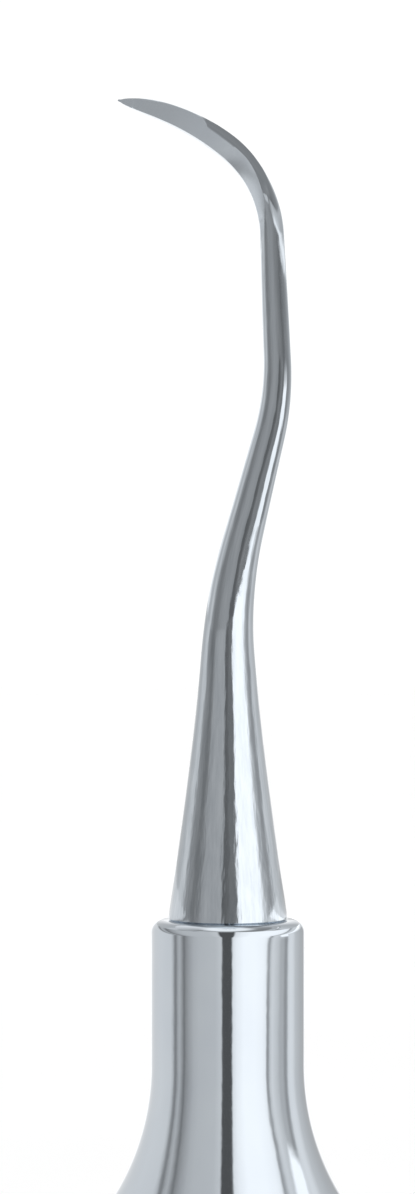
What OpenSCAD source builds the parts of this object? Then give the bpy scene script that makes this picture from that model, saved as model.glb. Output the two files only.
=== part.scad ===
// Double-ended dental hand scaler: a hollow steel handle with a replaceable curved sickle tip
// screwed into each end. Millimetres. Z runs along the handle, +Z towards the upper tip, and the
// origin is the middle of the handle on its axis. The lower end is the upper end turned half a
// turn about Y.

/* [Barrel] */
// Distance between the two end faces that the tips seat on
handle_length = 110; // [100:1:120]
// Outer diameter of the barrel, where the fingers hold it
barrel_d = 10; // [9.8:0.1:11]
// Wall thickness of the hollow barrel
barrel_wall = 0.6; // [0.5:0.05:0.8]

/* [Ferrule] */
// Diameter of the straight neck under each tip
neck_d = 6.2; // [6:0.1:6.4]
// Length of the neck before the flare begins
neck_length = 5.9; // [5:0.1:8]
// Radius of the rounded edge at the top of the neck
neck_edge = 0.5; // [0.2:0.1:0.6]
// Radius of the hollow, outward-curving part of the flare
flare_radius = 10.1; // [8:0.1:10.5]
// Steepest angle of the flare away from the handle's axis, in degrees
flare_angle = 31; // [28:1:32]
// Length of the plug that is pressed into the barrel
spigot_length = 7; // [5:0.5:10]

/* [Colour ring] */
// Width of the silicone colour-code ring
ring_width = 2.2; // [1.5:0.1:3]
// Depth of the groove that holds the ring
ring_depth = 0.6; // [0.4:0.1:0.8]

/* [Tip] */
// Diameter of the tip's cone where it seats on the ferrule
cone_d = 4.84; // [4.4:0.04:5]
// Nominal diameter of the screw thread
thread_d = 3; // [2.5:0.5:3]
// Advance of the thread in one turn
thread_pitch = 0.5; // [0.4:0.05:0.5]
// Whole turns that free the tip from the handle
thread_turns = 10; // [8:1:10]
// Diameter of the plain pilot between the cone and the thread
pilot_d = 3.9; // [3.7:0.1:4]
// Length of the pilot
pilot_length = 1.8; // [1.6:0.1:2.4]

/* [Seals] */
// Thickness of the small O-ring on the tip's pilot
tip_seal_section = 0.5; // [0.4:0.05:0.6]
// Thickness of the O-ring between the ferrule and the barrel
barrel_seal_section = 0.8; // [0.6:0.1:1]

/* [Hidden] */

$fn = 64;
steel = [0.72, 0.74, 0.77];
black_rubber = [0.05, 0.05, 0.06];
ring_blue = [0.10, 0.42, 0.62];

running_gap = 0.05;   // radial gap of the screw and pilot in the ferrule
press_gap = 0.01;     // radial gap of the pressed spigot, which is drawn just free of the barrel
seal_gap = 0.02;      // gap that keeps a seal clear of the parts it lies between

neck_r = neck_d / 2;
barrel_r = barrel_d / 2;
barrel_bore_r = barrel_r - barrel_wall;
thread_r = thread_d / 2 - running_gap;
pilot_r = pilot_d / 2;
socket_r = pilot_r + running_gap;
screw_length = thread_pitch * thread_turns;
screw_chamfer = 0.3;
socket_depth = pilot_length + 0.1;
tapped_depth = pilot_length + screw_length + 0.6;

// The flare is a hollow arc and then a round shoulder, tangent to each other and to the barrel.
shoulder_radius = (barrel_r - neck_r) / (1 - cos(flare_angle)) - flare_radius;
flare_length = (flare_radius + shoulder_radius) * sin(flare_angle);
ring_land = 0.8;
ring_top = neck_length + flare_length + ring_land;
ring_floor_r = barrel_r - ring_depth;
seam_depth = ring_top + ring_width + ring_land;
spigot_r = barrel_bore_r - press_gap;
spigot_end = seam_depth + spigot_length;
spigot_bevel = 0.5;

barrel_seal_z = seam_depth + spigot_length / 2;
barrel_seal_floor_r = barrel_bore_r - barrel_seal_section;
tip_seal_z = 0.9;
tip_seal_floor_r = pilot_r - tip_seal_section + seal_gap / 2;
hollow_r = barrel_seal_floor_r - 0.7;   // leaves 0.7 mm of metal under the barrel seal's groove
hollow_web = 2;       // solid metal left between the tapped hole and the hollow behind it

/* Path of the tip: straight length, then bend angle and bend radius. Positive bends lean to +X. */
bends = [[10.7, 14.4, 19], [4.3, -16.8, 10.9], [5, -49.8, 4.8], [0, -26.2, 8.9]];
point_length = 0.75;  // straight length after the last bend

// Half width of the tip in its own plane, by distance along the path
half_width = [[0, cone_d / 2], [4.5, 1.78], [8.3, 1.31], [11.2, 1.05], [13.5, 0.9], [15.8, 0.78],
              [18.8, 0.68], [22.5, 0.57], [25.5, 0.53], [28.5, 0.48], [30, 0.465], [32.2, 0.487],
              [34.4, 0.41], [35.7, 0.31], [36.4, 0.19], [36.85, 0.03]];
// Half thickness of the ground blade at its face, and at its back, as shares of the half width
blade_start = 27.5;
face_share = [[blade_start, 0.8], [30.2, 0.62], [31.7, 0.72], [33.2, 0.75], [36.8, 0.7]];
back_share = [[blade_start, 1.25], [30.2, 1.2], [31.7, 0.95], [33.2, 0.35], [35, 0.12], [36.8, 0.06]];
// How far the inner side has been ground from round to a flat face
face_ground = [[28.5, 0], [31, 1]];
corner_stock = 0.6;   // spare stock beside the face, so that it meets the sides in sharp edges

// Sections of the swept skin: sides round it, and rings along the cone, the shank and the blade
tip_sides = 20;
cone_rings = 5;
shank_rings = 14;
blade_rings = 24;

// Each stretch of the path as [length, bend in degrees per mm]
stretches = [for (b = bends, part = [0, 1])
                 part == 0 ? [b[0], 0] : [arc_length(b), b[1] / arc_length(b)],
             [point_length, 0]];
function arc_length(b) = b[2] * abs(b[1]) * PI / 180;
path_length = sum([for (stretch = stretches) stretch[0]]);
function sum(list, i = 0) = i < len(list) ? list[i] + sum(list, i + 1) : 0;

// [x, z, lean] after going length mm from state, with bend degrees of bend per mm
function advance(state, length, bend) =
    bend == 0
        ? [state[0] + length * sin(state[2]), state[1] + length * cos(state[2]), state[2]]
        : let (r = 180 / (PI * bend), lean = state[2] + bend * length)
          [state[0] + r * (cos(state[2]) - cos(lean)),
           state[1] + r * (sin(lean) - sin(state[2])), lean];
function along(s, i = 0, state = [0, 0, 0]) =
    i == len(stretches) - 1 || s <= stretches[i][0]
        ? advance(state, s, stretches[i][1])
        : along(s - stretches[i][0], i + 1,
                advance(state, stretches[i][0], stretches[i][1]));

// Distance from the path to the skin, in the direction phi from the outer side of the hook
function skin_reach(s, phi) =
    let (w = lookup(s, half_width),
         face = w * lookup(s, face_share),
         back = w * lookup(s, back_share),
         inward = max(0, -cos(phi)),
         stock = w * (1 + corner_stock * lookup(s, face_ground) * inward),
         side_norm = norm([face - back, 2 * w]),
         side_reach = (cos(phi) * (face - back) + abs(sin(phi)) * 2 * w) / side_norm,
         side = w * (face + back) / side_norm)
    min(stock, inward > 0 ? w / inward : stock, side_reach > 0 ? side / side_reach : stock);

function ring_point(s, phi) =
    let (p = along(s), r = skin_reach(s, phi))
    [p[0] + r * cos(phi) * cos(p[2]), r * sin(phi), p[1] - r * cos(phi) * sin(p[2])];

function steps(from, to, count) = [for (i = [1:count]) from + i * (to - from) / count];
ring_places = concat([0], steps(0, bends[0][0], cone_rings),
                     steps(bends[0][0], blade_start, shank_rings),
                     steps(blade_start, path_length, blade_rings));

// The forged working part: cone, bent shank and ground blade, as one swept skin
module working_end() {
    rings = len(ring_places);
    points = [for (s = ring_places, i = [0:tip_sides - 1]) ring_point(s, i * 360 / tip_sides)];
    walls = [for (k = [0:rings - 2], i = [0:tip_sides - 1])
                 let (a = k * tip_sides + i, b = k * tip_sides + (i + 1) % tip_sides)
                 each [[a, b, b + tip_sides], [a, b + tip_sides, a + tip_sides]]];
    seat = [for (i = [tip_sides - 1:-1:0]) i];
    point = [for (i = [0:tip_sides - 1]) (rings - 1) * tip_sides + i];
    polyhedron(points, [for (f = concat(walls, [seat, point])) [for (i = [len(f) - 1:-1:0]) f[i]]]);
}

// Everything of the tip that hides inside the ferrule: pilot, seal groove and screw
module tip_stud() {
    buried = 0.4;     // overlap with the cone above
    groove = tip_seal_section + 2 * seal_gap;
    difference() {
        union() {
            translate([0, 0, -pilot_length]) cylinder(r = pilot_r, h = pilot_length + buried);
            translate([0, 0, -pilot_length - screw_length + screw_chamfer])
                cylinder(r = thread_r, h = screw_length);
            translate([0, 0, -pilot_length - screw_length])
                cylinder(r1 = thread_r - screw_chamfer, r2 = thread_r, h = screw_chamfer);
        }
        translate([0, 0, -tip_seal_z - groove / 2]) difference() {
            cylinder(r = pilot_r + 1, h = groove);
            translate([0, 0, -1]) cylinder(r = tip_seal_floor_r, h = groove + 2);
        }
    }
}

module tip() {
    color(steel) union() {
        working_end();
        tip_stud();
    }
}

module tip_seal() {
    r = tip_seal_section / 2;
    color(black_rubber) translate([0, 0, -tip_seal_z]) rotate_extrude()
        translate([tip_seal_floor_r + r + seal_gap / 2, 0]) circle(r = r, $fn = 24);
}

// Neck, flare and shoulder down to the barrel's seam, then the spigot with its seal groove
function ferrule_outline() =
    let (edge = [for (a = [90:-15:0])
                     [neck_r - neck_edge + neck_edge * cos(a), -neck_edge + neck_edge * sin(a)]],
         hollow_arc = [for (a = [0:flare_angle / 10:flare_angle])
                           [neck_r + flare_radius * (1 - cos(a)),
                            -neck_length - flare_radius * sin(a)]],
         shoulder = [for (a = [flare_angle:-flare_angle / 6:0])
                         [barrel_r - shoulder_radius * (1 - cos(a)),
                          -neck_length - flare_length + shoulder_radius * sin(a)]],
         ring_bottom = ring_top + ring_width,
         seal_half = barrel_seal_section / 2 + seal_gap)
    concat([[0, 0]], edge, hollow_arc, [for (i = [1:len(shoulder) - 1]) shoulder[i]],
           [[barrel_r, -ring_top], [ring_floor_r, -ring_top],
            [ring_floor_r, -ring_bottom], [barrel_r, -ring_bottom],
            [barrel_r, -seam_depth], [spigot_r, -seam_depth],
            [spigot_r, -barrel_seal_z + seal_half], [barrel_seal_floor_r, -barrel_seal_z + seal_half],
            [barrel_seal_floor_r, -barrel_seal_z - seal_half], [spigot_r, -barrel_seal_z - seal_half],
            [spigot_r, -spigot_end + spigot_bevel], [spigot_r - spigot_bevel, -spigot_end],
            [0, -spigot_end]]);

module ferrule() {
    hollow_top = tapped_depth + hollow_web;
    color(steel) difference() {
        rotate_extrude() polygon(ferrule_outline());
        translate([0, 0, -socket_depth]) cylinder(r = socket_r, h = socket_depth + 1);
        translate([0, 0, -tapped_depth]) cylinder(d = thread_d, h = tapped_depth);
        translate([0, 0, -spigot_end - 1]) cylinder(r = hollow_r, h = spigot_end - hollow_top + 1);
    }
}

module colour_ring() {
    side_gap = 0.02;
    bulge = 0.12;     // how much the ring's edges are rounded back from its middle
    half = ring_width / 2 - side_gap;
    color(ring_blue) translate([0, 0, -ring_top - ring_width / 2]) rotate_extrude()
        polygon([[ring_floor_r + press_gap, -half], [barrel_r - bulge, -half],
                 [barrel_r, -half + bulge], [barrel_r, half - bulge],
                 [barrel_r - bulge, half], [ring_floor_r + press_gap, half]]);
}

module barrel_seal() {
    r = barrel_seal_section / 2;
    color(black_rubber) translate([0, 0, -barrel_seal_z]) rotate_extrude()
        translate([barrel_bore_r - r, 0]) circle(r = r - press_gap, $fn = 24);
}

module barrel() {
    half = handle_length / 2 - seam_depth;
    color(steel) difference() {
        translate([0, 0, -half]) cylinder(r = barrel_r, h = 2 * half);
        translate([0, 0, -half - 1]) cylinder(r = barrel_bore_r, h = 2 * half + 2);
    }
}

module upper_end() translate([0, 0, handle_length / 2]) children();
module lower_end() rotate([0, 180, 0]) upper_end() children();

upper_end() tip();  // upper_tip
upper_end() tip_seal();  // upper_tip_seal
upper_end() ferrule();  // upper_ferrule
upper_end() colour_ring();  // upper_colour_ring
upper_end() barrel_seal();  // upper_barrel_seal
barrel();
lower_end() barrel_seal();  // lower_barrel_seal
lower_end() colour_ring();  // lower_colour_ring
lower_end() ferrule();  // lower_ferrule
lower_end() tip_seal();  // lower_tip_seal
lower_end() tip();  // lower_tip
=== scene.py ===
import math

import bmesh
import bpy
from mathutils import Matrix, Vector


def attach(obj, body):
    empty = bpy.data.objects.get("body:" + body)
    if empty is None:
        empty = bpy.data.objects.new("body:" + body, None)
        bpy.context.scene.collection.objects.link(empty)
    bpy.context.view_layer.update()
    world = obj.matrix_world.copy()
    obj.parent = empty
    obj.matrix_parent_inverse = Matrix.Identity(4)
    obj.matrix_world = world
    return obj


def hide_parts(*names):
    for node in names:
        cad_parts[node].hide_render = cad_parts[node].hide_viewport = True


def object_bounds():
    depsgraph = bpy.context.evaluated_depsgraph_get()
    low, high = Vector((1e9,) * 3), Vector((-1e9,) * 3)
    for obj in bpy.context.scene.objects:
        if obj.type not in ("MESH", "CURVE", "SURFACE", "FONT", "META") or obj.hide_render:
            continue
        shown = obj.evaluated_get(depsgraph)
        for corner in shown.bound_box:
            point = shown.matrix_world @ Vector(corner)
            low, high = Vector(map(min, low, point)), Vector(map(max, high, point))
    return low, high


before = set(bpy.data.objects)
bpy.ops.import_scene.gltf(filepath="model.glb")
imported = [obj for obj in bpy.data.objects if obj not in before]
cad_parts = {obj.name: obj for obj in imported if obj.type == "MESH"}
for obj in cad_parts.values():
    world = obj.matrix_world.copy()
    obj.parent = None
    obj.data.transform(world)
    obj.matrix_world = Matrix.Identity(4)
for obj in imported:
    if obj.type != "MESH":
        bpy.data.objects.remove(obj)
CAD_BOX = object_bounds()

# Lengths of the shapes are in millimetres and are scaled to metres as each mesh is made.
MM = 0.001
SEAT = 55.0            # height of the upper seat, where a tip meets its ferrule
SIDES = 48             # sides of the tips
RING_SIDES = 96        # sides of the ferrules and the seals
SMOOTH_SIDES = 128     # sides of the barrel and the colour rings
ENDS = ("upper", "lower")


# ---------------------------------------------------------------- mesh helpers

def steps(start, end, count):
    """count + 1 evenly spaced values from start to end."""
    return [start + (end - start) * i / count for i in range(count + 1)]


def ease(value, start, end):
    """0 before start, 1 after end, and a smooth rise between them."""
    t = min(1.0, max(0.0, (value - start) / (end - start)))
    return t * t * (3 - 2 * t)


def curve_through(table, place):
    """Smooth curve through a table of (place, value) pairs."""
    if place <= table[0][0]:
        return table[0][1]
    if place >= table[-1][0]:
        return table[-1][1]
    k = max(i for i in range(len(table) - 1) if table[i][0] <= place)

    def slope(i):
        before, after = table[max(i - 1, 0)], table[min(i + 1, len(table) - 1)]
        return (after[1] - before[1]) / (after[0] - before[0])

    (x0, y0), (x1, y1) = table[k], table[k + 1]
    span = x1 - x0
    t = (place - x0) / span
    from_start, start_slope = (1 + 2 * t) * (1 - t) ** 2, t * (1 - t) ** 2
    to_end, end_slope = t * t * (3 - 2 * t), t * t * (t - 1)
    return y0 * from_start + slope(k) * span * start_slope + y1 * to_end + slope(k + 1) * span * end_slope


def circle_ring(radius, z, sides):
    """Points round the axis. radius is a number, or a function of the side's number."""
    ring = []
    for i in range(sides):
        angle = 2 * math.pi * i / sides
        r = radius(i) if callable(radius) else radius
        ring.append((r * math.cos(angle), r * math.sin(angle), z))
    return ring


def ring_pairs(count, looped):
    """Each ring's number with the next one's, and where looped, the last one's with the first one's."""
    pairs = [(k, k + 1) for k in range(count - 1)]
    return pairs + [(count - 1, 0)] if looped else pairs


def skin_faces(rings, looped=False, cut=None):
    """Faces between rings of points. A ring of one point is a pole. cut(ring, side) says which way
    a face is split into triangles: 1 up its rising diagonal, -1 up its falling one, 0 not split."""
    starts, total = [], 0
    for ring in rings:
        starts.append(total)
        total += len(ring)
    faces, places = [], []
    for low, high in ring_pairs(len(rings), looped):
        sides = max(len(rings[low]), len(rings[high]))
        for i in range(sides):
            j = (i + 1) % sides
            a, b = starts[low] + i, starts[low] + j
            d, c = starts[high] + i, starts[high] + j
            if len(rings[low]) == 1:
                made = [(starts[low], c, d)]
            elif len(rings[high]) == 1:
                made = [(a, b, starts[high])]
            elif cut and cut(low, i) == 1:
                made = [(a, b, c), (a, c, d)]
            elif cut and cut(low, i) == -1:
                made = [(a, b, d), (b, c, d)]
            else:
                made = [(a, b, c, d)]
            faces += made
            places += [(low, i)] * len(made)
    return faces, places


def put_in_scene(name, data):
    """A new object for a mesh or a camera."""
    made = bpy.data.objects.new(name, data)
    bpy.context.scene.collection.objects.link(made)
    return made


def make_piece(name, rings, straight, materials, material_of=None, looped=False, cut=None, crisp=32):
    """A closed mesh from rings of points in millimetres. straight holds the same rings before the
    tip is bent, which the materials use to run their grain along it. Edges sharper than crisp
    degrees are drawn sharp."""
    points = [p for ring in rings for p in ring]
    faces, places = skin_faces(rings, looped, cut)
    mesh = bpy.data.meshes.new(name)
    mesh.from_pydata([Vector(p) * MM for p in points], [], faces)
    for material in materials:
        mesh.materials.append(material)
    if material_of:
        mesh.polygons.foreach_set("material_index", [material_of(*place) for place in places])
    grain = mesh.attributes.new("straight", "FLOAT_VECTOR", "POINT")
    grain.data.foreach_set("vector", [c for ring in straight for p in ring for c in p])
    work = bmesh.new()
    work.from_mesh(mesh)
    bmesh.ops.recalc_face_normals(work, faces=work.faces)
    work.to_mesh(mesh)
    work.free()
    mesh.shade_smooth()
    mesh.set_sharp_from_angle(angle=math.radians(crisp))
    return put_in_scene(name, mesh)


def place_at(piece, end):
    """Moves a piece made round the seat to its end of the handle."""
    lift = Matrix.Translation((0, 0, SEAT * MM))
    turn = Matrix.Rotation(math.pi, 4, "Y") if end == "lower" else Matrix.Identity(4)
    piece.data.transform(turn @ lift)
    return piece


def put_in_frame(piece, body, node):
    """The piece moves with a body and stands for a CAD node, which is hidden."""
    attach(piece, body)
    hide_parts(node)
    return piece


def outline_rings(outline, sides):
    """Rings round the axis from an outline, which is a list of (radius, z). A radius of 0 is a pole."""
    return [[(0, 0, z)] if r == 0 else circle_ring(r, z, sides) for r, z in outline]


def turned(name, outline, sides, materials, material_of=None, looped=False, cut=None, crisp=32):
    """A piece turned on a lathe."""
    rings = outline_rings(outline, sides)
    return make_piece(name, rings, rings, materials, material_of, looped, cut, crisp)


def straight_run(start, end, longest=0.6):
    """Outline points from start up to, but without, end, no further than longest apart."""
    length = math.dist(start, end)
    count = max(1, math.ceil(length / longest))
    return [(start[0] + (end[0] - start[0]) * i / count, start[1] + (end[1] - start[1]) * i / count)
            for i in range(count)]


def outline_through(corners, longest=0.6):
    """Outline through corners, with its long straight runs divided."""
    outline = []
    for start, end in zip(corners, corners[1:]):
        outline += straight_run(start, end, longest)
    return outline + [corners[-1]]


# ---------------------------------------------------------------- materials

NOISE_MIDDLE = (0.3, 0.7)      # where most of the noise lies


class Nodes:
    """Short names for the few shader nodes that the materials are made of."""

    def __init__(self, name):
        self.material = bpy.data.materials.new(name)
        self.material.use_nodes = True
        self.tree = self.material.node_tree
        self.shader = self.tree.nodes["Principled BSDF"]

    def add(self, kind, **settings):
        node = self.tree.nodes.new(kind)
        for key, value in settings.items():
            setattr(node, key, value)
        return node

    def link(self, output, socket):
        self.tree.links.new(output, socket)

    def grain(self, stretch):
        """The unbent position in millimetres, scaled by stretch along X, Y and Z."""
        place = self.add("ShaderNodeAttribute", attribute_name="straight")
        scaled = self.add("ShaderNodeVectorMath", operation="MULTIPLY")
        scaled.inputs[1].default_value = stretch
        self.link(place.outputs["Vector"], scaled.inputs[0])
        return scaled.outputs[0]

    def noise(self, stretch, detail):
        """Noise from 0 to 1, with about as many features in a millimetre as stretch says."""
        node = self.add("ShaderNodeTexNoise")
        node.inputs["Scale"].default_value = 1.0
        node.inputs["Detail"].default_value = detail
        node.inputs["Roughness"].default_value = 0.6
        self.link(self.grain(stretch), node.inputs["Vector"])
        return node.outputs["Fac"]

    def remap(self, value, before, after):
        """Turns one range into another, each a (start, end) pair, and holds the value at its ends."""
        node = self.add("ShaderNodeMapRange")
        node.inputs["From Min"].default_value = before[0]
        node.inputs["From Max"].default_value = before[1]
        node.inputs["To Min"].default_value = after[0]
        node.inputs["To Max"].default_value = after[1]
        self.link(value, node.inputs["Value"])
        return node.outputs["Result"]

    def spread(self, noise, low, high):
        """Turns noise from its middle range into low to high."""
        return self.remap(noise, NOISE_MIDDLE, (low, high))

    def depth(self, root, crest):
        """0 at one distance from the axis, in millimetres, and 1 at another."""
        flat = self.add("ShaderNodeVectorMath", operation="LENGTH")
        self.link(self.grain((1, 1, 0)), flat.inputs[0])
        return self.remap(flat.outputs["Value"], (root, crest), (0.0, 1.0))

    def mix(self, share, low, high):
        """The colour low where the share is 0, high where it is 1, and a mix between them."""
        node = self.add("ShaderNodeMix", data_type="RGBA")
        factor, first, second, mixed = node.inputs[0], node.inputs[6], node.inputs[7], node.outputs[2]
        first.default_value = (*low, 1)
        second.default_value = (*high, 1)
        self.link(share, factor)
        return mixed

    def colours(self, noise, low, high):
        """A colour that wanders between low and high with the noise."""
        return self.mix(self.spread(noise, 0.0, 1.0), low, high)

    def bump(self, heights):
        """Adds bumps from pairs of a height output and its depth in metres."""
        before = None
        for height, depth in heights:
            node = self.add("ShaderNodeBump")
            node.inputs["Strength"].default_value = 1.0
            node.inputs["Distance"].default_value = depth
            self.link(height, node.inputs["Height"])
            if before:
                self.link(before, node.inputs["Normal"])
            before = node.outputs["Normal"]
        self.link(before, self.shader.inputs["Normal"])


def steel(name, shades, roughness, grain, wear, bump_depth, waves=None, wave_depth=0.0, drawn=False):
    """Steel whose grain runs along the piece, with slow patches of wear, and with the broad waves that
    finishing by hand leaves. The grain shows in the gloss, or on drawn steel in the colour."""
    made = Nodes(name)
    made.shader.inputs["Metallic"].default_value = 1.0
    patches = made.noise(wear, detail=2.0)
    streaks = made.noise(grain, detail=4.0)
    tint, gloss = (streaks, patches) if drawn else (patches, streaks)
    made.link(made.colours(tint, *shades), made.shader.inputs["Base Color"])
    made.link(made.spread(gloss, *roughness), made.shader.inputs["Roughness"])
    heights = [(streaks, bump_depth)]
    if waves:
        heights.append((made.noise(waves, detail=2.0), wave_depth))
    made.bump(heights)
    return made.material


KNURL_SPECKS = (12, 12, 12)
KNURL_SPECK_GLOSS = 0.04
KNURL_SPECK_DEPTH = 8e-7


def knurled(name, shades, roughness, root, crest):
    """Rolled steel, dull in its valleys and rubbed glossy along its crests by the fingers, and darker in its
    valleys by painted shade. The shades, the first of which is that painted shade, and the roughness are the
    valleys' and then the crests'."""
    made = Nodes(name)
    made.shader.inputs["Metallic"].default_value = 1.0
    height = made.depth(root, crest)
    specks = made.noise(KNURL_SPECKS, detail=4.0)
    # Painted shade: the colour darkens from the crests down into the valleys, where shade would fall.
    made.link(made.mix(height, *shades), made.shader.inputs["Base Color"])
    gloss = made.add("ShaderNodeMath", operation="ADD")
    made.link(made.remap(height, (0.0, 1.0), roughness), gloss.inputs[0])
    made.link(made.spread(specks, -KNURL_SPECK_GLOSS, KNURL_SPECK_GLOSS), gloss.inputs[1])
    made.link(gloss.outputs[0], made.shader.inputs["Roughness"])
    made.bump([(specks, KNURL_SPECK_DEPTH)])
    return made.material


RUBBER_BLOOM = (0.9, 0.9, 0.9)


def rubber(name, shades, roughness, pores, bump_depth):
    """Moulded rubber: fine pores and a faint bloom on the surface."""
    made = Nodes(name)
    made.shader.inputs["Specular IOR Level"].default_value = 0.45
    fine = made.noise((pores, pores, pores), detail=4.0)
    bloom = made.noise(RUBBER_BLOOM, detail=2.0)
    made.link(made.colours(bloom, *shades), made.shader.inputs["Base Color"])
    made.link(made.spread(bloom, *roughness), made.shader.inputs["Roughness"])
    made.bump([(fine, bump_depth)])
    return made.material


# Each steel's or rubber's two shades, as red, green and blue
BRIGHT = (0.6, 0.645, 0.69)
STEEL_SHADES = (BRIGHT, (0.575, 0.62, 0.67))
DRAWN_SHADES = ((0.535, 0.58, 0.625), (0.635, 0.68, 0.725))
# The knurl's first shade is painted shade for its valleys; the second is the crests' own steel.
KNURL_VALLEY_SHADE_AND_CREST = ((0.34, 0.37, 0.4), BRIGHT)
SILICONE_SHADES = ((0.07, 0.33, 0.52), (0.1, 0.41, 0.6))
NITRILE_SHADES = ((0.022, 0.022, 0.025), (0.038, 0.038, 0.042))

POLISHED = steel("polished_steel", STEEL_SHADES, roughness=(0.045, 0.085), grain=(9, 9, 0.35),
                 wear=(0.5, 0.5, 0.3), bump_depth=2e-8, waves=(1.3, 1.3, 0.9), wave_depth=4e-6)
HAND_POLISHED = steel("hand_polished_steel", DRAWN_SHADES, roughness=(0.05, 0.1), grain=(5, 5, 0.3),
                      wear=(1, 1, 0.6), bump_depth=5e-6, waves=(2.4, 2.4, 0.5), wave_depth=1.7e-5, drawn=True)
GROUND = steel("ground_steel", STEEL_SHADES, roughness=(0.2, 0.27), grain=(3, 3, 20),
               wear=(0.8, 0.8, 0.8), bump_depth=1.2e-7)
SATIN = steel("satin_steel", STEEL_SHADES, roughness=(0.2, 0.32), grain=(0.8, 0.8, 16),
              wear=(0.3, 0.3, 0.3), bump_depth=2e-7)
THREADED = steel("threaded_steel", STEEL_SHADES, roughness=(0.14, 0.24), grain=(4, 4, 4),
                 wear=(0.6, 0.6, 0.6), bump_depth=1e-7)
KNURLED = knurled("knurled_steel", KNURL_VALLEY_SHADE_AND_CREST, roughness=(0.42, 0.2), root=4.82, crest=4.96)
SILICONE = rubber("ring_silicone", SILICONE_SHADES, roughness=(0.38, 0.5), pores=14, bump_depth=1.5e-6)
NITRILE = rubber("seal_rubber", NITRILE_SHADES, roughness=(0.42, 0.58), pores=20, bump_depth=1.5e-6)


# ---------------------------------------------------------------- thread

PITCH = 0.5
SAMPLES_PER_PITCH = 16
THREAD_FLAT = 0.12       # share of the pitch that is flat at a crest, and again at a root


def thread_share(side, sides, z):
    """Height of a right-hand thread between its root, 0, and its crest, 1, at a side and height."""
    turn = (z / PITCH - side / sides) % 1.0
    slope = (1 - 2 * THREAD_FLAT) / 2
    return min(1.0, max(0.0, (abs(2 * turn - 1) / 2 - THREAD_FLAT / 2) / slope))


def thread_rings(root, crest, start, end, sides):
    """Outline of a thread from start to end, as (radius by side, z) pairs."""
    count = round(abs(end - start) / PITCH * SAMPLES_PER_PITCH)

    def radius_at(z):
        return lambda side: root + (crest - root) * thread_share(side, sides, z)

    return [(radius_at(z), z) for z in steps(start, end, count)]


# ---------------------------------------------------------------- tip

# Path from the seat: straight length, then bend angle and bend radius. Positive leans to +X.
BENDS = ((10.68, 14.4, 19.0), (4.3, -16.8, 10.9), (5.0, -49.8, 4.8), (0.0, -26.2, 8.9))
POINT_LENGTH = 0.75
CONE_R = 2.42

# Half width in the plane of the hook, by distance along the path
HALF_WIDTH = ((0, CONE_R), (4.5, 1.78), (8.3, 1.31), (11.2, 1.05), (13.5, 0.9), (15.8, 0.78),
              (18.8, 0.68), (22.5, 0.57), (25.5, 0.53), (28.5, 0.48), (30, 0.465), (32.2, 0.487),
              (34.4, 0.41), (35.7, 0.31), (36.4, 0.19), (36.7, 0.11), (36.85, 0.04))
BLADE_START = 27.1
BLEND_START = BLADE_START - 4  # from here to the blade, the corners move to where it needs them
# Half thickness of the blade at its face, as a share of the half width
FACE_SHARE = ((BLADE_START, 0.1), (27.6, 0.2), (28.1, 0.32), (28.7, 0.43), (29.4, 0.53), (30.3, 0.62),
              (31.7, 0.72), (33.2, 0.75), (36.8, 0.7))
FACE_GROUND = (28.5, 31.0)     # the face is ground from round at the first place to flat at the second
CORNER_STOCK = 0.6             # extra stock towards the face, which lets its corners be sharp
# Where the flat side ends towards the back: place along the path, then how far out and how thick there,
# as shares of the half width
SIDE_END = ((BLADE_START, -0.98, 0.2), (27.7, -0.81, 0.58), (28.2, -0.64, 0.77), (28.7, -0.47, 0.88),
            (29.3, -0.2, 0.97), (30.3, 0.14, 0.9), (31.1, 0.33, 0.73), (32.1, 0.29, 0.62), (32.7, 0.33, 0.57),
            (33.15, 0.42, 0.53), (33.35, 0.7, 0.48), (33.6, 0.88, 0.41), (35, 0.91, 0.25), (36.8, 0.93, 0.12))
SIDE_END_OUT = [(place, out) for place, out, thick in SIDE_END]
SIDE_END_THICK = [(place, thick) for place, out, thick in SIDE_END]
BACK_BEVEL = (28.4, 31.2)      # the back is bevelled from nothing at the first place to fully at the second
BACK_RIDGE = 8.0               # half angle of the round ridge left along the back

# Half of a section is divided into these parts, with a corner between the back and the side and
# another between the side and the face. Directions are in degrees from the back.
FACE_PARTS, SIDE_PARTS, BACK_PARTS = 5, 9, 10     # SIDES / 2 in all
ROUND_CORNERS = (360 * (BACK_PARTS + SIDE_PARTS) / SIDES, 360 * BACK_PARTS / SIDES)
LEAST_SPREAD = 12.0            # least distance of a corner from the middle of the side
LAST_CORNER = 176.0
LEAST_CUT = 1.0                # a narrower flat than this isn't cut


def stretches():
    """The path as (length, bend in radians per mm)."""
    made = []
    for straight, angle, radius in BENDS:
        curved = radius * math.radians(abs(angle))
        made.append((straight, 0.0))
        made.append((curved, math.radians(angle) / curved))
    return made + [(POINT_LENGTH, 0.0)]


PATH = stretches()
PATH_LENGTH = sum(length for length, bend in PATH)


def along(place):
    """(x, z, lean) at a distance along the path, in mm and radians, with the seat at 0."""
    x = z = lean = 0.0
    for length, bend in PATH:
        go = min(length, place)
        if bend == 0:
            x += go * math.sin(lean)
            z += go * math.cos(lean)
        else:
            turned_to = lean + bend * go
            x += (math.cos(lean) - math.cos(turned_to)) / bend
            z += (math.sin(turned_to) - math.sin(lean)) / bend
            lean = turned_to
        place -= go
        if place <= 0:
            break
    return x, z, lean


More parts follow.
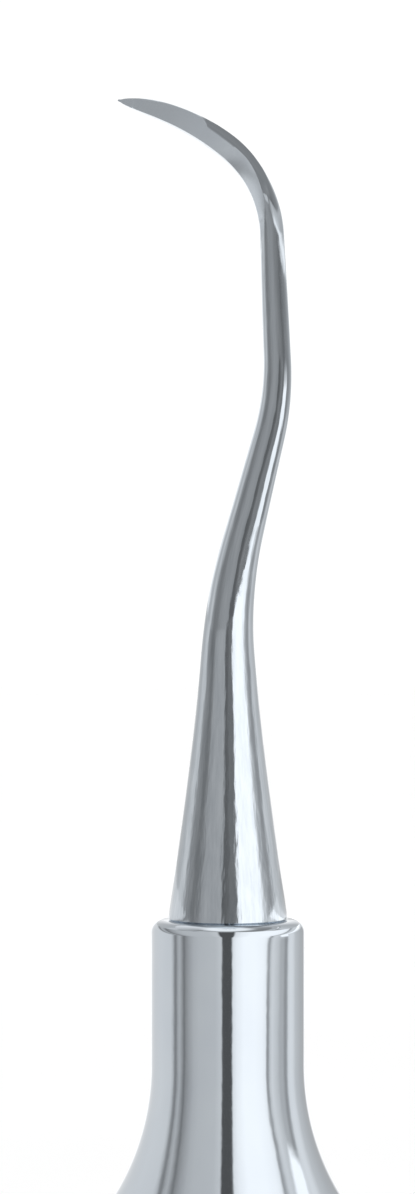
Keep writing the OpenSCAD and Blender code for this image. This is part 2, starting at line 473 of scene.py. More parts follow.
class Section:
    """Cross-section of the tip at one place: round stock cut by the face, the sides and the bevels.
    front and back are the directions of the side's edges at the face and towards the back."""

    def __init__(self, place):
        self.half_width = curve_through(HALF_WIDTH, place)
        self.ground = min(1.0, max(0.0, (place - FACE_GROUND[0]) / (FACE_GROUND[1] - FACE_GROUND[0])))
        self.front = 180 - math.degrees(math.atan(curve_through(FACE_SHARE, place)))
        out = self.half_width * curve_through(SIDE_END_OUT, place)
        thick = self.half_width * curve_through(SIDE_END_THICK, place)
        self.back = math.degrees(math.atan2(thick, out))
        self.side = self.bevel = None
        if place > BLADE_START and self.front - self.back > LEAST_CUT:
            self.side = self.flat((out, thick), self.stock_point(self.front))
            ridge = self.back + (BACK_RIDGE - self.back) * ease(place, *BACK_BEVEL)
            if self.back - ridge > LEAST_CUT:
                self.bevel = self.flat(self.stock_point(ridge), (out, thick))
        self.corners = self.find_corners(place)

    def stock(self, degrees):
        """Distance from the path to the uncut stock and face in a direction."""
        inward = max(0.0, -math.cos(math.radians(degrees)))
        stock = self.half_width * (1 + CORNER_STOCK * self.ground * inward)
        return min(stock, self.half_width / inward) if inward > 0 else stock

    def stock_point(self, degrees):
        """The uncut point in a direction, as (out, thick)."""
        angle = math.radians(degrees)
        return self.stock(degrees) * math.cos(angle), self.stock(degrees) * math.sin(angle)

    def flat(self, low, high):
        """Direction and distance of the flat through two points, the first nearer the back."""
        normal = math.atan2(low[0] - high[0], high[1] - low[1])
        return normal, low[0] * math.cos(normal) + low[1] * math.sin(normal)

    def reach(self, degrees):
        """Distance from the path to the finished surface in a direction."""
        reach = self.stock(degrees)
        for flat in (self.side, self.bevel):
            towards = math.cos(math.radians(abs(degrees)) - flat[0]) if flat else 0
            if towards > 0:
                reach = min(reach, flat[1] / towards)
        return reach

    def find_corners(self, place):
        """Directions of the side's two corners, kept apart where the side is narrow or absent."""
        high, low = (self.front, self.back) if self.side else (self.front, self.front)
        half = max((high - low) / 2, LEAST_SPREAD)
        middle = min((high + low) / 2, LAST_CORNER - half)
        share = ease(place, BLEND_START, BLADE_START)
        return (ROUND_CORNERS[0] + (middle + half - ROUND_CORNERS[0]) * share,
                ROUND_CORNERS[1] + (middle - half - ROUND_CORNERS[1]) * share)

    def angles(self):
        """Angles of the section's points, all the way round from the back, with one on each corner."""
        high, low = self.corners
        half = steps(0.0, low, BACK_PARTS) + steps(low, high, SIDE_PARTS)[1:]
        half += steps(high, 180.0, FACE_PARTS)[1:]
        return half + [360.0 - a for a in reversed(half[1:-1])]

    def is_cut(self):
        """Whether the side is wide enough to show its grinding."""
        return bool(self.side) and self.front - self.back > LEAST_SPREAD


SHANK_RINGS, BLADE_RINGS = 90, 140
CONE_EDGE = 0.06               # the first ring's height, which leaves a fine edge round the cone's foot
POINT_GAP = 0.03               # from the last ring to the point


def tip_rings():
    """Rings of the working end, bent and straight, and for each whether its sides are ground."""
    places = steps(CONE_EDGE, BLEND_START, SHANK_RINGS)
    places += steps(BLEND_START, PATH_LENGTH - POINT_GAP, BLADE_RINGS)[1:]
    bent, straight, ground = [], [], []
    for place in places:
        section = Section(place)
        x, z, lean = along(place)
        ring, plain = [], []
        for degrees in section.angles():
            angle = math.radians(degrees)
            reach = section.reach(degrees if degrees <= 180 else degrees - 360)
            out, side = reach * math.cos(angle), reach * math.sin(angle)
            ring.append((x + out * math.cos(lean), side, z - out * math.sin(lean)))
            plain.append((out, side, place))
        bent.append(ring)
        straight.append(plain)
        ground.append(section.is_cut())
    return bent, straight, ground


PILOT_R = 1.95
PILOT_LENGTH = 1.8
TIP_SEAL_Z = 0.9
TIP_SEAL_SECTION = 0.5
TIP_SEAL_R = 1.72          # radius of the circle that the seal's middle lies on
STUD_END = 6.8
THREAD_ROOT, THREAD_CREST = 1.2, 1.46
SEAL_ROOM = 0.02           # between a seal and each side of its groove
SEAL_GAP = 0.01            # between a seal and what it sits on
SEAL_FLASH = 0.012         # height of the line that its mould leaves
POLISHED_POINTS = 8        # points of the stud's outline from the upper side of its groove to the cone


def stud_outline():
    """The tip's hidden end from its free end up to the seat: screw, relief, pilot and seal groove."""
    groove_top = -TIP_SEAL_Z + TIP_SEAL_SECTION / 2 + SEAL_ROOM
    groove_bottom = -TIP_SEAL_Z - TIP_SEAL_SECTION / 2 - SEAL_ROOM
    groove_floor = TIP_SEAL_R - TIP_SEAL_SECTION / 2 - SEAL_GAP
    edge = 0.05
    chamfer = 0.15
    lead_in = 0.3
    end_r, thread_end_r = THREAD_ROOT - 0.35, THREAD_ROOT - 0.05
    relief = 0.45
    relief_depth = 0.02
    relief_r = THREAD_ROOT - relief_depth
    thread_top = -PILOT_LENGTH - relief
    cone_lip = 0.07
    free_end = outline_through([(end_r, -STUD_END), (thread_end_r, -STUD_END + lead_in)])
    thread = thread_rings(THREAD_ROOT, THREAD_CREST, -STUD_END + lead_in, thread_top, SIDES)
    pilot = outline_through([
        (relief_r, thread_top + relief_depth), (relief_r, -PILOT_LENGTH),
        (PILOT_R - chamfer, -PILOT_LENGTH), (PILOT_R, -PILOT_LENGTH + chamfer),
        (PILOT_R, groove_bottom - edge), (PILOT_R - edge, groove_bottom),
        (groove_floor, groove_bottom), (groove_floor, groove_top),
        (PILOT_R - edge, groove_top), (PILOT_R, groove_top + edge),
        (PILOT_R, 0.0), (CONE_R - cone_lip, 0.0)], longest=0.3)
    return [(0, -STUD_END)] + free_end + thread + pilot


def tip(end):
    """One replaceable tip: bent sickle end, cone and threaded stud."""
    outline = stud_outline()
    stud = outline_rings(outline, SIDES)
    bent, straight, ground = tip_rings()
    point_x, point_z = along(PATH_LENGTH)[:2]
    rings = stud + bent + [[(point_x, 0, point_z)]]
    grain = stud + straight + [[(0, 0, PATH_LENGTH)]]
    polished_from = len(outline) - POLISHED_POINTS
    first_bent = len(stud)

    def material_of(ring, side):
        if ring < polished_from:
            return 2
        index = ring - first_bent
        cut = 0 <= index < len(ground) and ground[index]
        from_back = min(side, SIDES - 1 - side)
        return 1 if cut and from_back >= BACK_PARTS else 0

    piece = make_piece(f"{end}_scaler_tip", rings, grain, [HAND_POLISHED, GROUND, THREADED], material_of)
    return put_in_frame(place_at(piece, end), f"{end}_tip", f"{end}_tip")


# ---------------------------------------------------------------- seals and rings

def ring_section(middle_r, middle_z, half):
    """Round section of a moulded seal, with the thin line that its mould leaves inside and outside.
    half is from the section's middle to that line."""
    beside_flash = {4, 176, 184, 356}
    outline = []
    for degrees in sorted(set(range(0, 360, 15)) | beside_flash):
        angle = math.radians(degrees)
        r = half - SEAL_FLASH + (SEAL_FLASH if degrees in (0, 180) else 0.0)
        outline.append((middle_r + r * math.cos(angle), middle_z + r * math.sin(angle)))
    return outline


def tip_seal(end):
    """The O-ring in the groove of the tip's pilot."""
    outline = ring_section(TIP_SEAL_R, -TIP_SEAL_Z, TIP_SEAL_SECTION / 2)
    piece = turned(f"{end}_tip_o_ring", outline, RING_SIDES, [NITRILE], looped=True, crisp=60)
    return put_in_frame(place_at(piece, end), f"{end}_seal", f"{end}_tip_seal")


# ---------------------------------------------------------------- ferrule

BARREL_R = 4.998
BORE_R = 4.4
NECK_R = 3.1
NECK_LENGTH = 5.9
NECK_EDGE = 0.5
FLARE_RADIUS = 10.1
FLARE_ANGLE = 31.0
SHOULDER_RADIUS = (BARREL_R - NECK_R) / (1 - math.cos(math.radians(FLARE_ANGLE))) - FLARE_RADIUS
FLARE_LENGTH = (FLARE_RADIUS + SHOULDER_RADIUS) * math.sin(math.radians(FLARE_ANGLE))
LAND = 0.8
RING_TOP = NECK_LENGTH + FLARE_LENGTH + LAND
RING_WIDTH = 2.2
RING_FLOOR_R = 4.4
SEAM = RING_TOP + RING_WIDTH + LAND
SPIGOT_END = SEAM + 7.0
SPIGOT_R = BORE_R - 0.01   # drawn just free of the bore that it is pressed into
BARREL_SEAL_Z = SEAM + 3.5
BARREL_SEAL_SECTION = 0.8
BARREL_SEAL_FLOOR_R = BORE_R - BARREL_SEAL_SECTION
SOCKET_R = 2.0
SOCKET_DEPTH = 1.9
TAPPED_DEPTH = 7.4
THREAD_GAP = 0.05          # between the tapped thread and the stud's
HOLLOW_TOP = TAPPED_DEPTH + 2.0
HOLLOW_R = 2.9


def arc(middle_r, middle_z, radius, start, end, count):
    """Outline points on an arc, by angles in degrees from the +r direction."""
    return [(middle_r + radius * math.cos(math.radians(a)), middle_z + radius * math.sin(math.radians(a)))
            for a in steps(start, end, count)]


def spigot_outline():
    """From the top of the ferrule's hollow, down and round its spigot, and up past the colour ring."""
    edge = 0.06
    hollow_chamfer, mouth_chamfer, lead_in = 0.3, 0.2, 0.5
    ring_bottom = RING_TOP + RING_WIDTH
    groove_top = -BARREL_SEAL_Z + BARREL_SEAL_SECTION / 2 + SEAL_ROOM
    groove_bottom = -BARREL_SEAL_Z - BARREL_SEAL_SECTION / 2 - SEAL_ROOM
    return outline_through([
        (HOLLOW_R - hollow_chamfer, -HOLLOW_TOP), (HOLLOW_R, -HOLLOW_TOP - hollow_chamfer),
        (HOLLOW_R, -SPIGOT_END + mouth_chamfer), (HOLLOW_R + mouth_chamfer, -SPIGOT_END),
        (SPIGOT_R - lead_in, -SPIGOT_END), (SPIGOT_R, -SPIGOT_END + lead_in),
        (SPIGOT_R, groove_bottom - edge), (SPIGOT_R - edge, groove_bottom),
        (BARREL_SEAL_FLOOR_R, groove_bottom), (BARREL_SEAL_FLOOR_R, groove_top),
        (SPIGOT_R - edge, groove_top), (SPIGOT_R, groove_top + edge),
        (SPIGOT_R, -SEAM), (BARREL_R - edge, -SEAM), (BARREL_R, -SEAM + edge),
        (BARREL_R, -ring_bottom - edge), (BARREL_R - edge, -ring_bottom),
        (RING_FLOOR_R, -ring_bottom), (RING_FLOOR_R, -RING_TOP),
        (BARREL_R - edge, -RING_TOP), (BARREL_R, -RING_TOP + edge)], longest=0.4)


def socket_outline():
    """From the top of the neck down the socket for the tip's pilot, to the start of its thread."""
    edge = 0.06
    countersink = 0.12
    return outline_through([
        (NECK_R - NECK_EDGE, 0.0), (SOCKET_R + edge, 0.0), (SOCKET_R, -edge), (SOCKET_R, -SOCKET_DEPTH),
        (THREAD_CREST + countersink, -SOCKET_DEPTH)], longest=0.2)


def tapped_outline():
    """The tapped hole, down to the cone that the drill leaves."""
    lead_in = 0.1
    drilled = 0.4              # depth without a thread
    drill_cone = 0.7
    edge = 0.02
    root = THREAD_ROOT + THREAD_GAP
    thread = thread_rings(root, THREAD_CREST + THREAD_GAP, -SOCKET_DEPTH - lead_in, -TAPPED_DEPTH + drilled,
                          RING_SIDES)
    drill = [(root, -TAPPED_DEPTH + drilled - edge), (root, -TAPPED_DEPTH), (0, -TAPPED_DEPTH - drill_cone)]
    return thread + drill


def ferrule(end):
    """The handle's end: neck, flare, groove for the colour ring, and spigot inside the barrel."""
    flare_bottom = -NECK_LENGTH - FLARE_LENGTH
    shoulder = arc(BARREL_R - SHOULDER_RADIUS, flare_bottom, SHOULDER_RADIUS, 0, FLARE_ANGLE, count=16)
    flare = arc(NECK_R + FLARE_RADIUS, -NECK_LENGTH, FLARE_RADIUS, 180 + FLARE_ANGLE, 180, count=30)
    neck = straight_run((NECK_R, -NECK_LENGTH), (NECK_R, -NECK_EDGE), longest=0.3)
    rounding = arc(NECK_R - NECK_EDGE, -NECK_EDGE, NECK_EDGE, 0, 90, count=12)
    outside = [(0, -HOLLOW_TOP)] + spigot_outline() + shoulder + flare[1:-1] + neck + rounding
    plain = outside + socket_outline()[1:]
    thread_start = len(plain) - 1

    def material_of(ring, side):
        return 1 if ring >= thread_start else 0

    piece = turned(f"{end}_handle_ferrule", plain + tapped_outline(), RING_SIDES, [POLISHED, THREADED],
                   material_of)
    return put_in_frame(place_at(piece, end), "handle", f"{end}_ferrule")


def colour_ring(end):
    """Silicone colour-code ring: crowned outside, and rounded down towards each edge."""
    top_r, inner_r = BARREL_R - 0.01, RING_FLOOR_R + 0.01
    crown, rounding, rounding_start = 0.05, 0.16, 0.86
    half = RING_WIDTH / 2 - 0.02
    middle = -RING_TOP - RING_WIDTH / 2
    outer = []
    for share in steps(-1.0, 1.0, count=28):
        r = top_r - crown * share ** 2 - rounding * ease(abs(share), rounding_start, 1.0)
        outer.append((r, middle + half * share))
    inner = outline_through([(inner_r, middle + half), (inner_r, middle - half)], longest=0.3)
    piece = turned(f"{end}_code_ring", outer + inner, SMOOTH_SIDES, [SILICONE], looped=True, crisp=40)
    return put_in_frame(place_at(piece, end), "handle", f"{end}_colour_ring")


def barrel_seal(end):
    """The O-ring between the ferrule's spigot and the barrel."""
    half = BARREL_SEAL_SECTION / 2
    outline = ring_section(BORE_R - half, -BARREL_SEAL_Z, half - SEAL_GAP)
    piece = turned(f"{end}_barrel_o_ring", outline, RING_SIDES, [NITRILE], looped=True, crisp=60)
    return put_in_frame(place_at(piece, end), "handle", f"{end}_barrel_seal")


# ---------------------------------------------------------------- barrel

HALF_BARREL = SEAT - SEAM
BARREL_EDGE = 0.06
KNURL_SAMPLES = 4          # mesh points for each diamond, so that its edges lie on the mesh
KNURL_ROW = 0.3
KNURL_DIAMONDS = 16
KNURL_DEPTH = 0.2
KNURL_START = 4.2          # from the barrel's end
KNURL_END = KNURL_START + KNURL_DIAMONDS * KNURL_SAMPLES * KNURL_ROW
GROOVE_WIDTH, GROOVE_DEPTH = 0.45, 0.16
GROOVE_FULLNESS = 0.7      # the lower, the squarer the groove
GROOVES = (2.3, 3.1, KNURL_END + 0.8, KNURL_END + 1.6)      # middles, from the barrel's end


def tooth(value):
    """0 at whole numbers and 1 half way between them, in straight lines."""
    return 1 - abs(2 * (value % 1.0) - 1)


def knurl_radius(row):
    """Radius by side along one row of the diamond knurl, which is rolled in less at its two ends."""
    rows = KNURL_DIAMONDS * KNURL_SAMPLES
    depth = KNURL_DEPTH * min(1.0, min(row, rows - row) / KNURL_SAMPLES)

    def radius(side):
        up, down = (side + row) / KNURL_SAMPLES, (side - row) / KNURL_SAMPLES
        return BARREL_R - depth * (1 - min(tooth(up), tooth(down)))

    return radius


def groove_outline(middle):
    """A round-bottomed groove turned into the barrel, from its lower side to its upper one."""
    points = []
    for share in steps(-1.0, 1.0, count=10):
        depth = GROOVE_DEPTH * math.cos(share * math.pi / 2) ** GROOVE_FULLNESS
        points.append((BARREL_R - depth, middle + share * GROOVE_WIDTH / 2))
    return points


def half_barrel():
    """Outline of the barrel from its middle to the bore's upper edge, and the row of the knurl that each
    knurled point of it lies on."""
    features = sorted([(HALF_BARREL - d, "groove") for d in GROOVES] + [(HALF_BARREL - KNURL_END, "knurl")])
    outline, rows, here = [], {}, (BARREL_R, 0.0)
    for z, kind in features:
        if kind == "groove":
            shape = groove_outline(z)
            outline += straight_run(here, shape[0], longest=0.8) + shape[:-1]
            here = shape[-1]
        else:
            outline += straight_run(here, (BARREL_R, z), longest=0.8)
            for row in range(KNURL_DIAMONDS * KNURL_SAMPLES):
                rows[len(outline)] = row
                outline.append((knurl_radius(row), z + row * KNURL_ROW))
            here = (BARREL_R, HALF_BARREL - KNURL_START)
    end = outline_through([
        here, (BARREL_R, HALF_BARREL - BARREL_EDGE), (BARREL_R - BARREL_EDGE, HALF_BARREL),
        (BORE_R + BARREL_EDGE, HALF_BARREL), (BORE_R, HALF_BARREL - BARREL_EDGE)], longest=0.4)
    return outline + end, rows


def barrel():
    """Hollow handle barrel with two knurled grips and turned grooves beside them."""
    upper, upper_rows = half_barrel()
    lower = [(r, -z) for r, z in reversed(upper[1:])]
    bore_end = HALF_BARREL - BARREL_EDGE
    bore = straight_run((BORE_R, bore_end), (BORE_R, -bore_end), longest=1.0)
    outline = lower + upper + bore[1:]
    middle = len(lower)
    rows = {middle + k: row for k, row in upper_rows.items()}
    mirrored = {middle - k: row for k, row in upper_rows.items()}

    def cut(ring, side):
        """Splits the knurl's faces along the edges of its diamonds, which the lower grip mirrors."""
        if ring in rows:
            row, rising = rows[ring], 1
        elif ring in mirrored and ring + 1 in mirrored:
            row, rising = mirrored[ring + 1], -1
        else:
            return 0
        if (side - row) % KNURL_SAMPLES == 0:
            return rising
        return -rising if (side + row + 1) % KNURL_SAMPLES == 0 else 0

    def material_of(ring, side):
        return 1 if ring in rows or ring in mirrored else 0

    piece = turned("knurled_barrel", outline, SMOOTH_SIDES, [SATIN, KNURLED], material_of,
                   looped=True, cut=cut, crisp=24)
    return put_in_frame(piece, "handle", "barrel")


# ---------------------------------------------------------------- studio

# Lengths of the studio are in metres, apart from the camera's focal length and sensor width.
CAMERA_PLACE = (-0.000826, -0.1383, 0.06805)
CAMERA_LENS, CAMERA_SENSOR = 103.0, 36.0
CAMERA_NEAR = 0.001
SKY_LIGHT = 1.05
FLOOR_GAP = 0.0052             # room for the lower tip to be screwed all the way out
FLOOR_RADIUS = 6.0
FLOOR_SIDES = 90
FLOOR_SPECKLE = 60.0
FLOOR_SHADES = ((0.95, 0.95, 0.95), (0.97, 0.97, 0.97))
ROOM_RADIUS = 2.0
FINE_STEP, COARSE_STEP = 3, 4  # degrees between the lines of a card

# Tones say how bright the polished steel looks where it shows them, from 0 to 1, by compass angle:
# 0 is behind the camera and 90 on its right.
DISPLAY_GAMMA = 2.2
STEEL_MEAN = 0.635             # share of the light that the steel reflects

# The handle stands in a narrow tent of cards, with dark gaps and edges between them.
HANDLE_TENT = ((-180, 0.92), (-166, 0.9), (-160, 0.83), (-152, 0.77), (-138, 0.76), (-114, 0.78), (-91, 0.77),
               (-87, 0.7), (-84, 0.54), (-81, 0.48), (-77.5, 0.62), (-74, 0.67), (-70, 0.58), (-66, 0.44),
               (-63, 0.53), (-58, 0.6), (-50, 0.67), (-42, 0.695), (-18, 0.71), (-11, 0.75), (-9.4, 0.73),
               (-7.6, 0.31), (4.5, 0.31), (6.6, 0.86), (12, 0.92), (22, 0.97), (38, 0.97), (50, 0.95),
               (55, 0.91), (57.5, 0.57), (60, 0.6), (62, 0.75), (66, 0.81), (76, 0.735), (80, 0.67),
               (86, 0.66), (91, 0.55), (94, 0.61), (98, 0.82), (104, 0.84), (110, 0.82), (117, 0.73),
               (134, 0.66), (150, 0.62), (156, 0.79), (166, 0.89), (180, 0.92))
TENT_RADIUS = 0.03
TENT_FOOT, TENT_TOP = -0.09, 0.0588
TENT_LID = (0.0032, 0.0551)     # radius and height of the lid's inner edge, just over the neck
TENT_SWING = 8.0                # degrees, at the tent's top
TENT_SWING_SIDES = (20.0, 50.0, 84.0, 112.0)
TENT_SWING_HEIGHTS = (0.0475, TENT_TOP)
TENT_GAP_TONE = 0.99
TENT_GAP_SIDES = (80.0, 84.0, 97.0, 101.0)
TENT_GAP_HEIGHTS = (0.0525, 0.0545)
# The cone stands in a second tent, and a dark post rises beside it
CONE_TENT = ((-180, 0.9), (-160, 0.75), (-150, 0.67), (-125, 0.66), (-112, 0.74), (-101, 0.74), (-94, 0.59),
             (-88, 0.52), (-78, 0.49), (-68, 0.43), (-62, 0.46), (-52, 0.57), (-44, 0.595), (-14, 0.61),
             (-10.5, 0.5), (-8, 0.36), (0, 0.38), (4, 0.43), (14, 0.42), (17, 0.5), (20, 0.95), (25, 1.0),
             (66, 0.99), (71, 0.84), (77, 0.68), (84, 0.6), (92, 0.54), (98, 0.6), (106, 0.76), (115, 0.74),
             (122, 0.7), (145, 0.66), (160, 0.8), (180, 0.9))
CONE_TENT_RADIUS = 0.015
CONE_TENT_FOOT, CONE_TENT_TOP = 0.0567, 0.06885
POST = ((-10, 0.5), (-8, 0.37), (2, 0.36), (8, 0.4), (14, 0.46), (22, 0.49))
POST_FOOT, POST_TOP = 0.066, 0.081
POST_LEAN = 22.0               # degrees further round at its top
# A card over the tip lights the flat sides of the blade
BLADE_CARD = ((-75, 0.5), (-62, 0.74), (-20, 0.75), (-4, 0.74), (9, 0.73), (13, 0.55))
BLADE_CARD_FOOT = ((-75, 0.0866), (-34, 0.0868), (-18, 0.0884), (-10, 0.0897), (13, 0.0904))
BLADE_CARD_TOP = 0.116
BLADE_CARD_FADE = 0.25
# A long lamp hangs beside the tip, lower further round, under a lighter card
LAMP_LINE = ((18, 0.0893), (37, 0.0889), (50, 0.0884), (60, 0.0878), (77, 0.0871), (90, 0.0868),
             (105, 0.0864), (122, 0.0859), (142, 0.0855))
LAMP_SIDES = (16.0, 36.0, 130.0, 142.0)
LAMP_TONE = 0.93
LAMP_HALF, LAMP_GLOW = 0.0003, 0.0011          # from its middle to its edge, and to where its glow ends
OVER_LAMP = ((44, 0.83), (63, 0.79), (77, 0.71), (90, 0.65), (108, 0.62))
OVER_LAMP_HEIGHTS = (0.091, 0.0931, 0.0945)    # where the card over it is half faded, faded and at its end
OVER_LAMP_FADED, OVER_LAMP_END = 0.68, 0.5
# The rest of the tip shows the room's own walls
MIDDLE_WALL = ((-180, 0.92), (-150, 0.88), (-140, 0.86), (-126, 0.7), (-116, 0.68), (-103, 0.74), (-92, 0.65),
               (-82, 0.52), (-71, 0.46), (-60, 0.47), (-50, 0.51), (-40, 0.545), (-28, 0.555), (-12, 0.56),
               (-4, 0.54), (14, 0.49), (30, 0.47), (42, 0.44), (52, 0.4), (62, 0.42), (76, 0.49), (90, 0.5),
               (108, 0.56), (122, 0.6), (146, 0.7), (165, 0.9), (180, 0.92))
LOW_WALL = ((-180, 0.92), (-150, 0.85), (-100, 0.77), (-70, 0.78), (-9, 0.78), (1, 0.6), (14, 0.5),
            (46, 0.49), (54, 0.7), (72, 0.6), (86, 0.5), (97, 0.49), (104, 0.6), (112, 0.69), (124, 0.74),
            (134, 0.64), (148, 0.75), (165, 0.9), (180, 0.92))
HIGH_WALL = ((-180, 0.9), (-140, 0.8), (-90, 0.62), (0, 0.62), (24, 0.53), (44, 0.49), (110, 0.49),
             (150, 0.6), (165, 0.85), (180, 0.9))
CEILING = 0.92
FLOOR_TONE = 0.8
# Where one of them passes into the next, in degrees above the horizon
LOW_TO_MIDDLE, MIDDLE_TO_HIGH, HIGH_TO_CEILING, LOW_TO_FLOOR = (-4, 3), (22, 32), (64, 76), (-35, -60)
STRIPE_TONE = 0.96
STRIPE = (49.0, 56.0, 78.0, 84.0)          # compass angles of a tall white card
STRIPE_HEIGHTS = (-40.0, -14.0, 4.0, 9.0)  # and its heights, in degrees above the horizon


def straight_lookup(table, place):
    """Value at a place in a table of (place, value) pairs, straight in between and level past its ends."""
    for (x0, y0), (x1, y1) in zip(table, table[1:]):
        if place <= x1:
            return y0 + (y1 - y0) * max(0.0, place - x0) / (x1 - x0)
    return table[-1][1]


def within(value, limits):
    """0 outside the limits, 1 between the inner two, and straight in between."""
    return max(0.0, min(1.0, (value - limits[0]) / (limits[1] - limits[0]),
                        (limits[3] - value) / (limits[3] - limits[2])))


def room_tone(compass, height):
    """Tone of the far walls, floor and ceiling, by degrees round and degrees above the horizon."""
    low, middle, high = (straight_lookup(wall, compass) for wall in (LOW_WALL, MIDDLE_WALL, HIGH_WALL))
    tone = low + (middle - low) * ease(height, *LOW_TO_MIDDLE)
    tone += (STRIPE_TONE - tone) * within(compass, STRIPE) * within(height, STRIPE_HEIGHTS)
    tone += (high - tone) * ease(height, *MIDDLE_TO_HIGH)
    tone += (CEILING - tone) * ease(height, *HIGH_TO_CEILING)
    return tone + (FLOOR_TONE - tone) * ease(height, *LOW_TO_FLOOR)


def glow_material():
    """A surface that only glows, as brightly as its points say."""
    material = bpy.data.materials.new("room_light")
    material.use_nodes = True
    tree = material.node_tree
    tree.nodes.clear()
    level = tree.nodes.new("ShaderNodeAttribute")
    level.attribute_name = "brightness"
    emission = tree.nodes.new("ShaderNodeEmission")
    output = tree.nodes.new("ShaderNodeOutputMaterial")
    tree.links.new(level.outputs["Fac"], emission.inputs["Strength"])
    tree.links.new(emission.outputs[0], output.inputs["Surface"])
    material.cycles.emission_sampling = "NONE"
    return material


GLOW = glow_material()


def glowing(name, grid, place, tone):
    """A sheet seen only in the steel. The grid holds the compass angles of its columns and the heights
    or numbers of its rows. Each point's place and tone go by its column and row."""
    compasses, rows = grid
    points = [place(c, r) for r in rows for c in compasses]
    count = len(compasses)
    faces = [(k * count + i, k * count + i + 1, (k + 1) * count + i + 1, (k + 1) * count + i)
             for k in range(len(rows) - 1) for i in range(count - 1)]
    mesh = bpy.data.meshes.new(name)
    mesh.from_pydata(points, [], faces)
    mesh.attributes.new("brightness", "FLOAT", "POINT").data.foreach_set(
        "value", [tone(c, r) ** DISPLAY_GAMMA / STEEL_MEAN for r in rows for c in compasses])
    mesh.materials.append(GLOW)
    sheet = put_in_scene(name, mesh)
    sheet.visible_camera = False
    sheet.visible_diffuse = False
    sheet.visible_shadow = False


def lines(start, end, step, stops=()):
    """Every step degrees from start to end, and the stops that lie between them."""
    regular = steps(start, end, round((end - start) / step))
    return sorted(set(regular) | {float(s) for s in stops if start < s < end})


def around(compass, radius, height):
    """The point at a compass angle, a distance from the handle's axis and a height."""
    c = math.radians(compass)
    return math.sin(c) * radius, -math.cos(c) * radius, height


def on_dome(compass, height):
    """The point of the room at a compass angle and degrees above the horizon."""
    h = math.radians(height)
    return around(compass, ROOM_RADIUS * math.cos(h), ROOM_RADIUS * math.sin(h))


def handle_tone(compass, height):
    """Tone of the handle's tent. Its right-hand card swings back towards the top, past a white gap."""
    swing = TENT_SWING * ease(height, *TENT_SWING_HEIGHTS) * within(compass, TENT_SWING_SIDES)
    tone = straight_lookup(HANDLE_TENT, compass - swing)
    gap = within(compass, TENT_GAP_SIDES) * ease(height, *TENT_GAP_HEIGHTS)
    return tone + (TENT_GAP_TONE - tone) * gap


def handle_tent():
    """The handle's tent, with its lid just above the neck."""
    columns = lines(-180, 180, FINE_STEP, [c for c, tone in HANDLE_TENT] + list(TENT_GAP_SIDES))
    rows = sorted({TENT_FOOT, TENT_TOP, *TENT_GAP_HEIGHTS, *steps(*TENT_SWING_HEIGHTS, 4)})
    glowing("handle_tent", (columns, rows), lambda c, z: around(c, TENT_RADIUS, z), handle_tone)
    lid = (TENT_LID, (TENT_RADIUS, TENT_TOP))
    glowing("tent_lid", (columns, [0, 1]), lambda c, row: around(c, *lid[row]),
            lambda c, row: handle_tone(c, TENT_TOP))


def tent(name, table, radius, feet, top, lean=0.0, fade=0.0):
    """An upright round card, whose tones go by compass angle, as the heights of its foot do. It may
    lean round, by degrees, and fade upwards."""
    columns = lines(table[0][0], table[-1][0], COARSE_STEP, [c for c, tone in table + feet])
    glowing(name, (columns, [0, 1]),
            lambda c, row: around(c + lean * row, radius, top if row else straight_lookup(feet, c)),
            lambda c, row: straight_lookup(table, c) * (1 - fade * row))


def lamp():
    """The long lamp and the card over it, from the dark wall below them to the wall above."""
    def height(compass, row):
        line = straight_lookup(LAMP_LINE, compass)
        edges = (line - LAMP_GLOW, line - LAMP_HALF, line + LAMP_HALF, line + LAMP_GLOW)
        return (*edges, *OVER_LAMP_HEIGHTS)[row]

    def tone(compass, row):
        wall = straight_lookup(MIDDLE_WALL, compass)
        card = straight_lookup(OVER_LAMP, compass)
        over = (card, (card + OVER_LAMP_FADED) / 2, OVER_LAMP_FADED, OVER_LAMP_END)
        lit = (wall, LAMP_TONE, LAMP_TONE, *over)[row]
        return wall + (lit - wall) * within(compass, LAMP_SIDES)

    rows = range(4 + len(OVER_LAMP_HEIGHTS))       # the lamp and its glow have four edges
    columns = lines(LAMP_SIDES[0], LAMP_SIDES[-1], COARSE_STEP, [c for c, line in LAMP_LINE])
    glowing("lamp", (columns, rows), lambda c, row: around(c, TENT_RADIUS, height(c, row)), tone)


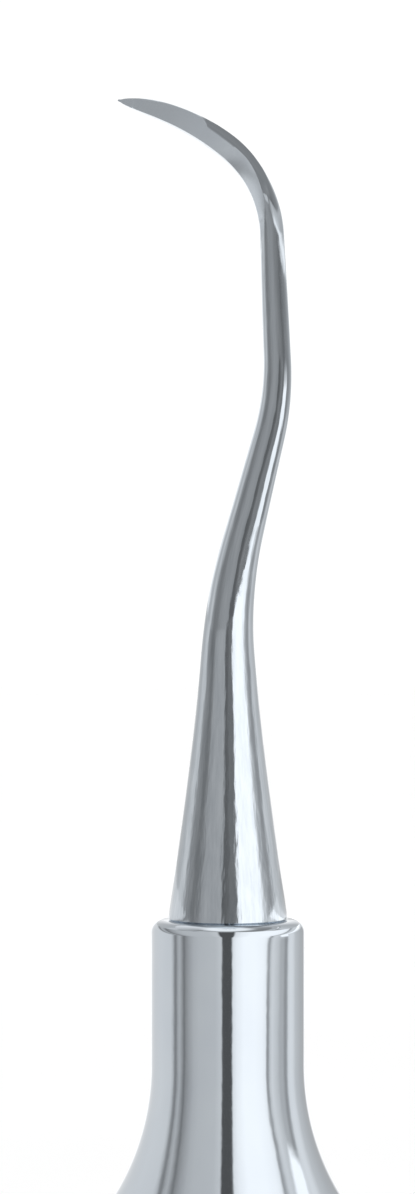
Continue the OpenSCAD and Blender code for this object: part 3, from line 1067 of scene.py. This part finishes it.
def room():
    """What the steel shows: the far walls, and the cards and the lamp near the instrument."""
    stops = [c for c, tone in MIDDLE_WALL + LOW_WALL + HIGH_WALL] + list(STRIPE)
    heights = lines(-90, 90, FINE_STEP, STRIPE_HEIGHTS)
    glowing("room", (lines(-180, 180, COARSE_STEP, stops), heights), on_dome, room_tone)
    handle_tent()
    tent("cone_tent", CONE_TENT, CONE_TENT_RADIUS, ((0, CONE_TENT_FOOT),), CONE_TENT_TOP)
    tent("post", POST, TENT_RADIUS, ((0, POST_FOOT),), POST_TOP, lean=POST_LEAN)
    tent("blade_card", BLADE_CARD, TENT_RADIUS, BLADE_CARD_FOOT, BLADE_CARD_TOP, fade=BLADE_CARD_FADE)
    lamp()


def floor():
    """Pale floor under the lower point, out of its reach when the tip is unscrewed."""
    made = Nodes("pale_floor")
    made.shader.inputs["Roughness"].default_value = 0.7
    speckle = made.add("ShaderNodeTexNoise")
    speckle.inputs["Scale"].default_value = FLOOR_SPECKLE
    made.link(made.colours(speckle.outputs["Fac"], *FLOOR_SHADES), made.shader.inputs["Base Color"])
    points = circle_ring(FLOOR_RADIUS, CAD_BOX[0].z - FLOOR_GAP, FLOOR_SIDES)
    mesh = bpy.data.meshes.new("floor")
    mesh.from_pydata(points, [], [tuple(range(len(points)))])
    mesh.materials.append(made.material)
    ground = put_in_scene("floor", mesh)
    ground.visible_glossy = False


def world_light():
    """Even white light from all round, which is also the white background."""
    world = bpy.data.worlds.new("studio")
    world.use_nodes = True
    background = world.node_tree.nodes["Background"]
    background.inputs["Color"].default_value = (1, 1, 1, 1)
    background.inputs["Strength"].default_value = SKY_LIGHT
    bpy.context.scene.world = world
    bpy.context.scene.view_settings.view_transform = "Standard"


def camera():
    """Level camera in front of the upper tip."""
    data = bpy.data.cameras.new("camera")
    data.sensor_width = CAMERA_SENSOR
    data.sensor_fit = "AUTO"
    data.lens = CAMERA_LENS
    data.clip_start = CAMERA_NEAR
    eye = put_in_scene("camera", data)
    eye.location = CAMERA_PLACE
    eye.rotation_euler = (math.pi / 2, 0, 0)
    bpy.context.scene.camera = eye


# ---------------------------------------------------------------- the whole scene

camera()
world_light()
room()
floor()
barrel()
for name in ENDS:
    tip(name)
    tip_seal(name)
    ferrule(name)
    colour_ring(name)
    barrel_seal(name)
